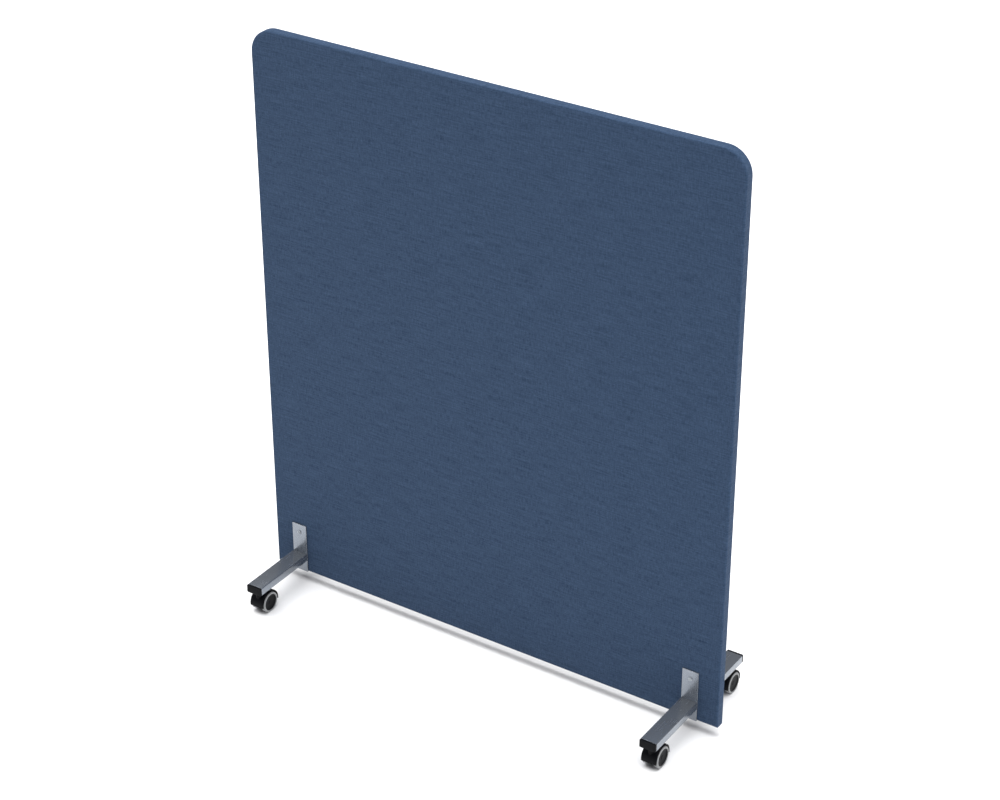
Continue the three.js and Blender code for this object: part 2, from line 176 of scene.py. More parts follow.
SILVER = (0.26, 0.285, 0.32)
SILVER_METALLIC = 0.79  # the rest is the dull, scattering part of the finish
SILVER_ROUGHNESS = 0.25
ZINC = (0.40, 0.43, 0.46)
BLACK = (0.0026, 0.0030, 0.0042)
TREAD_DARK = (0.22, 0.225, 0.23)
TREAD_LIGHT = (0.28, 0.285, 0.29)
PINE_DARK = (0.60, 0.40, 0.20)
PINE_LIGHT = (0.68, 0.48, 0.27)
PINE_BAND = (0.42, 0.23, 0.10)
FELT_DARK = (0.34, 0.345, 0.35)
FELT_LIGHT = (0.62, 0.62, 0.61)
FELT_TUFT = (0.5, 0.51, 0.53)
FLOOR_DARK = (0.86, 0.86, 0.865)
FLOOR_LIGHT = (0.88, 0.88, 0.885)

YARN_PITCH = 0.0009  # metres between neighbouring yarns
WEFT_DARK = (0.0165, 0.0345, 0.068)
WEFT_LIGHT = (0.051, 0.088, 0.158)
WARP_DARK = (0.020, 0.040, 0.080)
WARP_LIGHT = (0.049, 0.082, 0.146)
STREAK_SHARE = 0.55  # of a weft yarn's tone; short slubs make up the rest
REAR_WEAVE_SHIFT = 3  # metres, so that the rear face does not repeat the front's streaks


# --- Outlines -------------------------------------------------------------------------------------


def arc_points(centre, radius, start, end, steps):
    """Points on an arc between two angles in degrees, both ends included."""
    angles = [math.radians(start + (end - start) * step / steps) for step in range(steps + 1)]
    return [(centre[0] + radius * math.cos(a), centre[1] + radius * math.sin(a)) for a in angles]


def rounded_rectangle(width, height, radius, steps=6):
    """A rectangle about the origin with round corners."""
    w = width / 2 - radius
    h = height / 2 - radius
    outline = []
    for centre, start in [((w, h), 0), ((-w, h), 90), ((-w, -h), 180), ((w, -h), 270)]:
        outline += arc_points(centre, radius, start, start + 90, steps)
    return outline


def filleted(corners, steps=5):
    """A closed outline through corners (a, b, radius), each rounded by its radius if it has one."""
    outline = []
    for index, (a, b, radius) in enumerate(corners):
        if radius == 0:
            outline.append((a, b))
            continue
        corner = Vector((a, b))
        before = (Vector(corners[index - 1][:2]) - corner).normalized()
        after = (Vector(corners[(index + 1) % len(corners)][:2]) - corner).normalized()
        half = before.angle(after) / 2
        centre = corner + (before + after).normalized() * radius / math.sin(half)
        first = corner + before * radius / math.tan(half) - centre
        last = corner + after * radius / math.tan(half) - centre
        start = math.degrees(math.atan2(first.y, first.x))
        sweep = math.degrees(math.atan2(first.x * last.y - first.y * last.x, first.dot(last)))
        outline += arc_points(centre, radius, start, start + sweep, steps)
    return outline


def quarter(steps):
    """Angles in radians from 0 to a quarter turn."""
    return [math.pi / 2 * step / steps for step in range(steps + 1)]


def rounded_rim(edge, steps):
    """Steps (inset, place) over a rounded rim, from a flat end at 0 inwards."""
    return [(edge * (1 - math.sin(t)), edge * (1 - math.cos(t))) for t in quarter(steps)]


def rim(depth, edge, steps=4):
    """Steps (inset, place) through a thickness from 0 to depth whose two rims are rounded."""
    near = rounded_rim(edge, steps)
    far = [(inset, depth - place) for inset, place in reversed(near)]
    return near + far


# --- Meshes ---------------------------------------------------------------------------------------


def make_mesh(name, points, faces):
    """A mesh in metres from points in millimetres, with its faces turned outwards."""
    mesh = bpy.data.meshes.new(name)
    mesh.from_pydata([Vector(point) * MM for point in points], [], faces)
    shell = bmesh.new()
    shell.from_mesh(mesh)
    bmesh.ops.recalc_face_normals(shell, faces=shell.faces)
    shell.to_mesh(mesh)
    shell.free()
    return mesh


def loft(name, loops, joined=False):
    """A skin over rings of points. Its two ends are capped, or joined to each other."""
    size = len(loops[0])
    rows = len(loops)
    faces = []
    for row in range(rows if joined else rows - 1):
        this = row * size
        following = (row + 1) % rows * size
        for column in range(size):
            beside = (column + 1) % size
            faces.append((this + column, this + beside, following + beside, following + column))
    if not joined:
        faces.append(tuple(range(size)))
        faces.append(tuple(range(size * (rows - 1), size * rows)))
    return make_mesh(name, [point for loop in loops for point in loop], faces)


def turned(name, rows, axis="Z", joined=False, segments=96):
    """A solid of revolution about an axis through the origin, from rows (radius, place).

    A row (radius, place, 6) is a hexagon of that radius across its corners.
    """
    loops = []
    for radius, place, *sides in rows:
        loop = []
        for step in range(segments):
            angle = 2 * math.pi * step / segments
            reach = radius
            if sides:
                reach *= math.cos(math.pi / 6) / math.cos(angle % (math.pi / 3) - math.pi / 6)
            a = reach * math.cos(angle)
            b = reach * math.sin(angle)
            loop.append({"X": (place, a, b), "Y": (b, place, a), "Z": (a, b, place)}[axis])
        loops.append(loop)
    return loft(name, loops, joined)


def stacked(name, layers, joined=False):
    """A skin along Y over rounded rectangles (width, height, corner radius, y, z of the middle)."""
    loops = []
    for width, height, radius, y, z in layers:
        loops.append([(a, y, b + z) for a, b in rounded_rectangle(width, height, radius)])
    return loft(name, loops, joined)


def evaluated_mesh(item):
    """The mesh of an object with its modifiers applied."""
    return bpy.data.meshes.new_from_object(item.evaluated_get(bpy.context.evaluated_depsgraph_get()))


def combined(mesh, other, operation):
    """The mesh after a boolean operation with another one."""
    base = bpy.data.objects.new("boolean_base", mesh)
    tool = bpy.data.objects.new("boolean_tool", other)
    for item in (base, tool):
        bpy.context.scene.collection.objects.link(item)
    modifier = base.modifiers.new("boolean", "BOOLEAN")
    modifier.operation = operation
    modifier.object = tool
    modifier.solver = "EXACT"
    result = evaluated_mesh(base)
    result.name = mesh.name
    for item in (base, tool):
        bpy.data.objects.remove(item)
    return result


def drilled(mesh, holes, segments=48):
    """The mesh with round holes, each (axis, middle, radius, half its length)."""
    for axis, middle, radius, reach in holes:
        bit = turned("drill", [(radius, -reach), (radius, reach)], axis, segments=segments)
        bit.transform(Matrix.Translation(Vector(middle) * MM))
        mesh = combined(mesh, bit, "DIFFERENCE")
    return mesh


def add_piece(name, mesh, place, body, node, slot, finish=None):
    """Puts a copy of a mesh in place, as a piece that rides on a body, and hides the CAD node whose place
    it takes.

    Its finish is the one named after its slot, unless another is given.
    """
    mesh = mesh.copy()
    mesh.name = name
    mesh.transform(place)
    mesh.shade_smooth()
    mesh.set_sharp_from_angle(angle=math.radians(SMOOTH_ANGLE))
    mesh.materials.clear()
    mesh.materials.append(MATERIALS[finish or slot])
    piece = bpy.data.objects.new(name, mesh)
    bpy.context.scene.collection.objects.link(piece)
    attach(piece, body)
    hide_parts(node)
    return piece


def cad_corners(node):
    """The lowest and highest corner of a CAD node at rest, in millimetres."""
    low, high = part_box(node)
    return Vector(low) / MM, Vector(high) / MM


# --- Materials ------------------------------------------------------------------------------------


class Shader:
    """A material's node tree, with short ways to add and link nodes."""

    # Where a mix node has the sockets of its colour mode
    MIX_FACTOR = 0
    MIX_A = 6
    MIX_B = 7
    MIX_RESULT = 2

    def __init__(self, name):
        self.material = bpy.data.materials.new(name)
        self.material.use_nodes = True
        self.nodes = self.material.node_tree.nodes
        self.links = self.material.node_tree.links
        self.surface = self.nodes["Principled BSDF"]

    def add(self, kind, inputs, output=0, **settings):
        """Adds a node. Its inputs are numbers, colours or sockets. Returns one of its outputs."""
        node = self.nodes.new(kind)
        for key, value in settings.items():
            setattr(node, key, value)
        for key, value in inputs.items():
            self.put(node.inputs[key], value)
        return node.outputs[output]

    def put(self, socket, value):
        """Links a socket to an input, or sets the input to a plain value."""
        if isinstance(value, bpy.types.NodeSocket):
            self.links.new(value, socket)
        else:
            socket.default_value = value

    def set(self, **inputs):
        """Sets or links inputs of the surface, with underscores for the spaces in their names."""
        for key, value in inputs.items():
            self.put(self.surface.inputs[key.replace("_", " ")], value)

    def place(self):
        """The coordinates of the piece, in metres."""
        return self.add("ShaderNodeTexCoord", {}, output="Object")

    def cloth(self):
        """The coordinates along and across the cloth, in metres."""
        return self.add("ShaderNodeUVMap", {}, uv_map="cloth")

    def math(self, operation, a, b=0.0):
        return self.add("ShaderNodeMath", {0: a, 1: b}, operation=operation)

    def stretched(self, vector, frequencies):
        """Coordinates multiplied by a frequency along each axis, so that a pattern on them is finer."""
        return self.add("ShaderNodeVectorMath", {0: vector, 1: frequencies}, operation="MULTIPLY")

    def noise(self, vector, detail=2.0, roughness=0.5, scale=1.0, distortion=0.0):
        inputs = {
            "Vector": vector,
            "Scale": scale,
            "Detail": detail,
            "Roughness": roughness,
            "Distortion": distortion,
        }
        return self.add("ShaderNodeTexNoise", inputs)

    def ramp(self, value, low, high, to_low=0.0, to_high=1.0):
        """A value's place between low and high, as a number between to_low and to_high."""
        inputs = {"Value": value, "From Min": low, "From Max": high, "To Min": to_low, "To Max": to_high}
        return self.add("ShaderNodeMapRange", inputs)

    def blend(self, factor, a, b):
        """A mix of two colours or sockets: a where the factor is 0, b where it is 1."""
        node = self.nodes.new("ShaderNodeMix")
        node.data_type = "RGBA"
        self.put(node.inputs[self.MIX_FACTOR], factor)
        for index, colour in ((self.MIX_A, a), (self.MIX_B, b)):
            self.put(node.inputs[index], (*colour, 1.0) if isinstance(colour, tuple) else colour)
        return node.outputs[self.MIX_RESULT]

    def bump(self, height, distance, strength=1.0):
        inputs = {"Height": height, "Distance": distance, "Strength": strength}
        self.put(self.surface.inputs["Normal"], self.add("ShaderNodeBump", inputs))


def woven_fabric():
    """A melange plain weave: uneven weft yarns that run along the panel, crossed by finer warp yarns."""
    shader = Shader("woven_melange_fabric")
    cloth = shader.cloth()
    axes = shader.nodes.new("ShaderNodeSeparateXYZ")
    shader.put(axes.inputs[0], cloth)
    u = shader.math("DIVIDE", axes.outputs["X"], YARN_PITCH)
    v = shader.math("DIVIDE", axes.outputs["Y"], YARN_PITCH)
    across = shader.math("SINE", shader.math("MULTIPLY", u, math.pi))
    along = shader.math("SINE", shader.math("MULTIPLY", v, math.pi))
    weft_on_top = shader.ramp(shader.math("MULTIPLY", across, along), -0.35, 0.35)

    # Every yarn has a tone that drifts along it and is akin to its neighbours'.
    weft_place = shader.add("ShaderNodeCombineXYZ", {"X": u, "Y": shader.math("FLOOR", v)})
    warp_place = shader.add("ShaderNodeCombineXYZ", {"X": shader.math("FLOOR", u), "Y": v})
    streaks = shader.noise(shader.stretched(weft_place, (0.014, 0.3, 1)), detail=3.0)
    slubs = shader.noise(shader.stretched(weft_place, (0.14, 0.45, 1)), detail=1.0)
    long_part = shader.math("MULTIPLY", streaks, STREAK_SHARE)
    short_part = shader.math("MULTIPLY", slubs, 1 - STREAK_SHARE)
    weft_tone = shader.math("ADD", long_part, short_part)
    warp_tone = shader.noise(shader.stretched(warp_place, (0.5, 0.05, 1)), detail=1.0)
    weft = shader.blend(shader.ramp(weft_tone, 0.37, 0.63), WEFT_DARK, WEFT_LIGHT)
    warp = shader.blend(shader.ramp(warp_tone, 0.3, 0.7), WARP_DARK, WARP_LIGHT)
    yarns = shader.blend(weft_on_top, warp, weft)

    # Painted shade and painted highlight of the weave: the base colour is multiplied darker between the
    # yarns and lighter on their crowns.
    crowns = shader.math("SQRT", shader.math("ABSOLUTE", shader.math("MULTIPLY", across, along)))
    shade = shader.ramp(crowns, 0.0, 0.9, 0.7, 1.12)
    shader.set(
        Base_Color=shader.add("ShaderNodeVectorMath", {0: yarns, 1: shade}, operation="MULTIPLY"),
        Roughness=shader.ramp(weft_tone, 0.3, 0.7, 0.95, 0.8),
        Specular_IOR_Level=0.1,
        Sheen_Weight=0.04,
        Sheen_Roughness=0.5,
    )
    relief = shader.math("ADD", crowns, shader.math("MULTIPLY", weft_tone, 1.2))
    shader.bump(relief, 0.00012, strength=0.5)
    return shader.material


def satin_steel(name, colour, grain, roughness, metallic=1.0):
    """Brushed metal. grain is the frequency of the brush marks along each axis."""
    shader = Shader(name)
    place = shader.place()
    marks = shader.noise(shader.stretched(place, grain), detail=3.0, roughness=0.6)
    clouds = shader.noise(place, scale=35.0, detail=4.0)
    smudges = shader.ramp(clouds, 0.35, 0.7, -0.01, 0.015)
    brushing = shader.ramp(marks, 0.2, 0.8, roughness - 0.02, roughness + 0.03)
    darker = tuple(0.9 * part for part in colour)
    shader.set(
        Base_Color=shader.blend(shader.ramp(marks, 0.25, 0.75), darker, colour),
        Metallic=metallic,
        Roughness=shader.math("ADD", brushing, smudges),
    )
    shader.bump(marks, 0.00001, strength=0.1)
    return shader.material


def moulded_plastic(name, colour):
    """Black plastic with a fine spark-eroded grain and faint scuffs."""
    shader = Shader(name)
    place = shader.place()
    grain = shader.noise(place, scale=2600.0, detail=2.0)
    scuffs = shader.noise(shader.stretched(place, (60, 60, 260)), detail=5.0, roughness=0.7)
    worn = shader.ramp(scuffs, 0.62, 0.8, 0.0, 0.35)
    lighter = tuple(2.6 * part for part in colour)
    shader.set(
        Base_Color=shader.blend(worn, colour, lighter),
        Roughness=shader.ramp(scuffs, 0.3, 0.8, 0.42, 0.55),
        Specular_IOR_Level=0.08,
    )
    shader.bump(grain, 0.00004, strength=0.4)
    return shader.material


def soft_tread():
    """Grey polyurethane, slightly dusty."""
    shader = Shader("grey_polyurethane")
    place = shader.place()
    mottle = shader.noise(place, scale=220.0, detail=4.0, roughness=0.65)
    grain = shader.noise(place, scale=1800.0, detail=2.0)
    shader.set(
        Base_Color=shader.blend(shader.ramp(mottle, 0.3, 0.75), TREAD_DARK, TREAD_LIGHT),
        Roughness=shader.ramp(mottle, 0.3, 0.7, 0.5, 0.66),
        Specular_IOR_Level=0.4,
    )
    shader.bump(grain, 0.00005, strength=0.5)
    return shader.material


def pine_timber():
    """Planed softwood with grain along its longer side, in growth bands."""
    shader = Shader("planed_pine")
    place = shader.place()
    drift = shader.noise(shader.stretched(place, (3, 40, 14)), detail=3.0)
    bands = shader.math("FRACT", shader.math("MULTIPLY", drift, 9.0))
    fibres = shader.noise(shader.stretched(place, (40, 900, 900)), detail=3.0)
    early_wood = shader.blend(fibres, PINE_DARK, PINE_LIGHT)
    shader.set(
        Base_Color=shader.blend(shader.ramp(bands, 0.55, 1.0, 0.0, 0.7), early_wood, PINE_BAND),
        Roughness=shader.ramp(fibres, 0.2, 0.8, 0.55, 0.75),
    )
    shader.bump(fibres, 0.0001, strength=0.4)
    return shader.material


def needled_felt():
    """Grey acoustic felt of matted fibres."""
    shader = Shader("needled_felt")
    place = shader.place()
    fibres = shader.noise(place, scale=700.0, detail=5.0, roughness=0.75, distortion=1.2)
    tufts = shader.noise(place, scale=90.0, detail=3.0)
    fibre_tone = shader.blend(fibres, FELT_DARK, FELT_LIGHT)
    shader.set(
        Base_Color=shader.blend(shader.ramp(tufts, 0.35, 0.7, 0.0, 0.4), fibre_tone, FELT_TUFT),
        Roughness=shader.ramp(tufts, 0.3, 0.7, 0.88, 1.0),
        Sheen_Weight=0.2,
    )
    shader.bump(fibres, 0.0006, strength=0.7)
    return shader.material


def silver(name, grain):
    return satin_steel(name, SILVER, grain, SILVER_ROUGHNESS, SILVER_METALLIC)


MATERIALS = {
    "blue_fabric": woven_fabric(),
    "silver_steel": silver("satin_silver_tube", (1400, 12, 1400)),  # brushed along Y
    "silver_plate": silver("satin_silver_plate", (1400, 1400, 12)),  # brushed along Z
    "zinc_steel": satin_steel("bright_zinc_steel", ZINC, (300, 300, 300), 0.3),
    "black_plastic": moulded_plastic("black_moulded_plastic", BLACK),
    "grey_tread": soft_tread(),
    "frame_timber": pine_timber(),
    "acoustic_felt": needled_felt(),
}

# --- The panel ------------------------------------------------------------------------------------


def cover_grid(low, high):
    """Rows of (x, z, outward x, outward z) over one face of the panel, as far as its rounded edges."""
    half = high.x - EDGE_ROUND
    corner = TOP_CORNER - EDGE_ROUND
    centre_x = high.x - TOP_CORNER
    centre_z = high.z - TOP_CORNER
    slot_end = (high.x - SLOT_MARGIN) / half
    columns = range(-COVER_HALF_COLUMNS, COVER_HALF_COLUMNS + 1)
    fractions = sorted([column / COVER_HALF_COLUMNS for column in columns] + [-slot_end, slot_end])

    # Each level has a height, a half width and the way out of its right end.
    levels = []
    bottom = low.z + EDGE_ROUND
    for step in range(COVER_ROWS + 1):
        levels.append((bottom + (centre_z - bottom) * step / COVER_ROWS, half, (1, 0)))
    for angle in quarter(CORNER_STEPS)[1:]:
        outward = (math.cos(angle), math.sin(angle))
        levels.append((centre_z + corner * outward[1], centre_x + corner * outward[0], outward))

    rows = []
    for index, (z, reach, (out_x, out_z)) in enumerate(levels):
        row = [(fraction * reach, z, 0, 0) for fraction in fractions]
        if index == 0:
            row = [(x, z, 0, -1) for x, z, _, _ in row]
            out_z = -1
        if index == len(levels) - 1:
            row = [(x, z, 0, 1) for x, z, _, _ in row]
        row[0] = (-reach, z, -out_x, out_z)
        row[-1] = (reach, z, out_x, out_z)
        rows.append(row)
    return rows


def cover_faces(rows, face_y):
    """Both faces of the panel as grids: their points, cloth coordinates in metres and mesh faces."""
    width = len(rows[0])
    height = len(rows)
    points = []
    cloth = []
    faces = []
    for side in (-1, 1):
        start = len(points)
        for row in rows:
            for x, z, _, _ in row:
                points.append((x, side * face_y, z))
                cloth.append((x * MM if side < 0 else REAR_WEAVE_SHIFT - x * MM, z * MM))
        for row in range(height - 1):
            for column in range(width - 1):
                corner = start + row * width + column
                faces.append((corner, corner + 1, corner + width + 1, corner + width))
    return points, cloth, faces


def cover_border(rows):
    """Where the points of a face's border are in its grid, once round from the lower left corner."""
    width = len(rows[0])
    height = len(rows)
    around = list(range(width))
    around += [row * width + width - 1 for row in range(1, height)]
    around += [(height - 1) * width + column for column in range(width - 2, -1, -1)]
    around += [row * width for row in range(height - 2, 0, -1)]
    return around


def edge_profile(face_y):
    """Steps (outward, y) over the panel's rounded edge, from its front face to its rear face."""
    flat = face_y - EDGE_ROUND
    angles = quarter(EDGE_STEPS)[1:]
    turn = [(EDGE_ROUND * math.sin(a), -flat - EDGE_ROUND * math.cos(a)) for a in angles]
    middle = [(EDGE_ROUND, -SLOT_HALF_WIDTH), (EDGE_ROUND, SLOT_HALF_WIDTH)]
    return turn + middle + [(out, -y) for out, y in reversed(turn)]


def cover_shell():
    """The fabric round the panel: two faces, and a band over the edges with a slot in its underside."""
    low, high = cad_corners("fabric_cover")
    rows = cover_grid(low, high)
    points, cloth, faces = cover_faces(rows, high.y)
    around = cover_border(rows)
    grid = [point for row in rows for point in row]
    border = [grid[index] for index in around]

    # Rings of points from the front face's border to the rear face's. The cloth goes on round the edge.
    rings = [around]
    reach = 0.0
    before = (0.0, -high.y)
    for out, y in edge_profile(high.y):
        reach += math.hypot(out - before[0], y - before[1])
        before = (out, y)
        rings.append([len(points) + index for index in range(len(border))])
        for x, z, out_x, out_z in border:
            points.append((x + out_x * out, y, z + out_z * out))
            cloth.append(((x + out_x * reach) * MM, (z + out_z * reach) * MM))
    rings.append([len(grid) + index for index in around])

    slack = 0.01  # so that points on the slot's outline count as over it
    slot_end = high.x - SLOT_MARGIN + slack

    def over_slot(x, y, z):
        return abs(x) < slot_end and abs(y) <= SLOT_HALF_WIDTH and z < low.z + slack

    for near, far in zip(rings, rings[1:]):
        for index in range(len(border)):
            beside = (index + 1) % len(border)
            face = (near[index], near[beside], far[beside], far[index])
            if not all(over_slot(*points[corner]) for corner in face):
                faces.append(face)

    mesh = make_mesh("cover", points, faces)
    layer = mesh.uv_layers.new(name="cloth")
    for loop in mesh.loops:
        layer.data[loop.index].uv = cloth[loop.vertex_index]
    return mesh


def thickened(mesh, thickness):
    """The sheet with a second layer inside it."""
    base = bpy.data.objects.new("solidify_base", mesh)
    bpy.context.scene.collection.objects.link(base)
    modifier = base.modifiers.new("solidify", "SOLIDIFY")
    modifier.thickness = thickness * MM
    modifier.offset = -1  # wholly inwards
    result = evaluated_mesh(base)
    bpy.data.objects.remove(base)
    return result


def add_cover():
    """The fabric, with holes for the bolts, and the size that it was cut to."""
    low, high = cad_corners("fabric_cover")
    mesh = thickened(cover_shell(), CLOTH_THICKNESS)
    holes = []
    for side in ("left", "right"):
        for height in ("upper", "lower"):
            bolt_low, bolt_high = cad_corners(f"foot_bolt_{side}_{height}")
            middle = (bolt_low + bolt_high) / 2
            holes.append(("Y", (middle.x, 0, middle.z), BOLT_HOLE, 2 * high.y))
    mesh = drilled(mesh, holes)
    cover = add_piece("panel_cover", mesh, Matrix(), "screen", "fabric_cover", "blue_fabric")


def add_underside_strip():
    """The strip in the cover's slot, skinned along Y and then turned to lie flat."""
    low, high = cad_corners("underside_strip")
    size = high - low
    layers = []
    for inset, place in rim(size.z, STRIP_EDGE):
        layers.append((size.x - 2 * inset, size.y - 2 * inset, STRIP_CORNER - inset, low.z + place, 0))
    mesh = stacked("strip", layers)
    mesh.transform(Matrix.Rotation(math.pi / 2, 4, "X"))
    add_piece("underside_closing_strip", mesh, Matrix(), "screen", "underside_strip", "black_plastic")


# --- A front half foot, drawn about its own centre line -------------------------------------------


def foot_corners(node):
    """The corners of a node of the front left half foot, measured from that foot's centre line."""
    low, high = cad_corners(f"{node}_front_left")
    tube_low, tube_high = cad_corners("foot_tube_front_left")
    middle = Vector(((tube_low.x + tube_high.x) / 2, 0, 0))
    return low - middle, high - middle


def plate_mesh():
    """A flat plate with eased edges and a hole for either bolt."""
    low, high = foot_corners("mounting_plate")
    size = high - low
    middle_z = (low.z + high.z) / 2
    layers = []
    for inset, place in rim(size.y, PLATE_EDGE):
        corner = PLATE_CORNER - inset / 2
        layers.append((size.x - 2 * inset, size.z - 2 * inset, corner, low.y + place, middle_z))
    holes = []
    for height in ("upper", "lower"):
        bolt_low, bolt_high = cad_corners(f"foot_bolt_left_{height}")
        holes.append(("Y", (0, low.y, (bolt_low.z + bolt_high.z) / 2), BOLT_HOLE, 2 * size.y))
    return drilled(stacked("plate", layers), holes)


def tube_mesh():
    """A rectangular tube with open ends and a hole for the bush in its underside."""
    low, high = foot_corners("foot_tube")
    size = high - low
    bush_low, bush_high = foot_corners("caster_bush")
    middle_z = (low.z + high.z) / 2
    outer = [
        (size.x - 2 * inset, size.z - 2 * inset, TUBE_CORNER - inset, low.y + place, middle_z)
        for inset, place in rim(size.y, TUBE_EDGE)
    ]
    inner = [
        (size.x - 2 * TUBE_WALL, size.z - 2 * TUBE_WALL, TUBE_CORNER / 2, place, middle_z)
        for place in (high.y, low.y)
    ]
    bush_hole = ("Z", (0, (bush_low.y + bush_high.y) / 2, low.z), BUSH_HOLE, 3 * TUBE_WALL)
    return drilled(stacked("tube", outer + inner, joined=True), [bush_hole])


def cap_mesh():
    """A flange with rounded edges, and a hollow plug behind it."""
    low, high = foot_corners("end_cap")
    size = high - low
    middle_z = (low.z + high.z) / 2
    flange_back = low.y + CAP_FLANGE
    plug = TUBE_WALL + FIT_GAP
    front = rounded_rim(CAP_EDGE, steps=5)
    sections = [(inset, CAP_CORNER - inset, low.y + place) for inset, place in front]
    sections += [
        (0, CAP_CORNER, flange_back),
        (plug, PLUG_CORNER, flange_back),
        (plug, PLUG_CORNER, high.y - PLUG_CHAMFER),
        (plug + PLUG_CHAMFER, PLUG_TIP_CORNER, high.y),
        (plug + PLUG_WALL, PLUG_BORE_CORNER, high.y),
        (plug + PLUG_WALL, PLUG_BORE_CORNER, flange_back),
    ]
    layers = []
    for inset, corner, place in sections:
        layers.append((size.x - 2 * inset, size.z - 2 * inset, corner, place, middle_z))
    return stacked("cap", layers)


# --- Bolts and sleeve nuts, along Z with the head upwards and its underside at 0 ------------------


def head_rows(radius):
    """A button head with a hexagon socket, from its underside to the bottom of the socket."""
    dome_height = HEAD_HEIGHT - HEAD_SIDE
    crown = [(radius * math.cos(a), HEAD_SIDE + dome_height * math.sin(a)) for a in quarter(DOME_STEPS)]
    flat_radius = 1.4 * SOCKET_RADIUS
    dome = [(r, z) for r, z in crown if r > flat_radius]
    return [
        (radius - HEAD_CHAMFER, 0.0),
        (radius, HEAD_CHAMFER),
        *dome,
        (flat_radius, HEAD_HEIGHT),
        (SOCKET_RADIUS + HEAD_CHAMFER, HEAD_HEIGHT, 6),
        (SOCKET_RADIUS, HEAD_HEIGHT - HEAD_CHAMFER, 6),
        (SOCKET_RADIUS, HEAD_HEIGHT - SOCKET_DEPTH, 6),
    ]


def bolt_mesh(length, radius):
    shank = [
        (SHANK_RADIUS - SHANK_CHAMFER, -length),
        (SHANK_RADIUS, -length + SHANK_CHAMFER),
        (SHANK_RADIUS, 0.0),
    ]
    return turned("bolt", shank + head_rows(radius))


def sleeve_mesh(length, radius):
    bore_end = -SOCKET_DEPTH / 2
    sleeve = [
        (SLEEVE_BORE, bore_end),
        (SLEEVE_BORE, -length),
        (SLEEVE_RADIUS - SLEEVE_CHAMFER, -length),
        (SLEEVE_RADIUS, -length + SLEEVE_CHAMFER),
        (SLEEVE_RADIUS, 0.0),
    ]
    return turned("sleeve", sleeve + head_rows(radius))


def add_fasteners():
    """A bolt from the front and a sleeve nut from the rear, through each pair of plates, twice a foot."""
    for side in ("left", "right"):
        for height in ("upper", "lower"):
            low, high = cad_corners(f"foot_bolt_{side}_{height}")
            radius = (high.x - low.x) / 2
            seat = Vector(((low.x + high.x) / 2, low.y + HEAD_HEIGHT, (low.z + high.z) / 2))
            place = Matrix.Translation(seat * MM) @ Matrix.Rotation(math.pi / 2, 4, "X")
            bolt = bolt_mesh(high.y - seat.y, radius)
            node = f"foot_bolt_{side}_{height}"
            add_piece(f"bolt_{side}_{height}", bolt, place, "screen", node, "zinc_steel")

            low, high = cad_corners(f"sleeve_nut_{side}_{height}")
            seat.y = high.y - HEAD_HEIGHT
            place = Matrix.Translation(seat * MM) @ Matrix.Rotation(-math.pi / 2, 4, "X")
            sleeve = sleeve_mesh(seat.y - low.y, radius)
            node = f"sleeve_nut_{side}_{height}"
            add_piece(f"sleeve_{side}_{height}", sleeve, place, "screen", node, "zinc_steel")


# --- A caster, drawn about its swivel axis, with its wheels towards the panel at y = TRAIL --------


def stem_mesh():
    """The stem that the caster swivels on, with its hexagon under the tube."""
    low, high = foot_corners("caster_stem")
    corners = (high.y - low.y) / 2
    nut_bottom = STEM_BOSS_TOP + FIT_GAP
    nut_top = foot_corners("foot_tube")[0].z - FIT_GAP
    return turned(
        "stem",
        [
            (STEM_RADIUS - STEM_CHAMFER, low.z),
            (STEM_RADIUS, low.z + STEM_CHAMFER),
            (STEM_RADIUS, nut_bottom),
            (corners - NUT_CHAMFER, nut_bottom),
            (corners, nut_bottom + NUT_CHAMFER_HEIGHT, 6),
            (corners, nut_top - NUT_CHAMFER_HEIGHT, 6),
            (corners - NUT_CHAMFER, nut_top),
            (STEM_RADIUS, nut_top),
            (STEM_RADIUS, high.z - STEM_TIP_CHAMFER),
            (STEM_RADIUS - STEM_TIP_CHAMFER, high.z),
        ],
    )


def hood_dip(radius):
    """The angle about the axle at which the hood ends, negative because it ends below the axle."""
    return math.asin((HOOD_LOWEST - AXLE_HEIGHT) / radius)


def hood_shell(half_width):
    """The arch over the wheels: a rounded strip swept about the axle to two level lower edges."""
    inner = HOOD_RADIUS - HOOD_WALL
    strip = filleted(
        [
            (-half_width, inner, HOOD_INNER_EDGE),
            (half_width, inner, HOOD_INNER_EDGE),
            (half_width, HOOD_RADIUS, HOOD_EDGE),
            (-half_width, HOOD_RADIUS, HOOD_EDGE),
        ]
    )
    loops = []
    for step in range(HOOD_STEPS + 1):
        loop = []
        for x, radius in strip:
            dip = hood_dip(radius)
            angle = dip + (math.pi - 2 * dip) * step / HOOD_STEPS
            loop.append((x, radius * math.cos(angle), radius * math.sin(angle)))
        loops.append(loop)
    return loft("hood", loops)


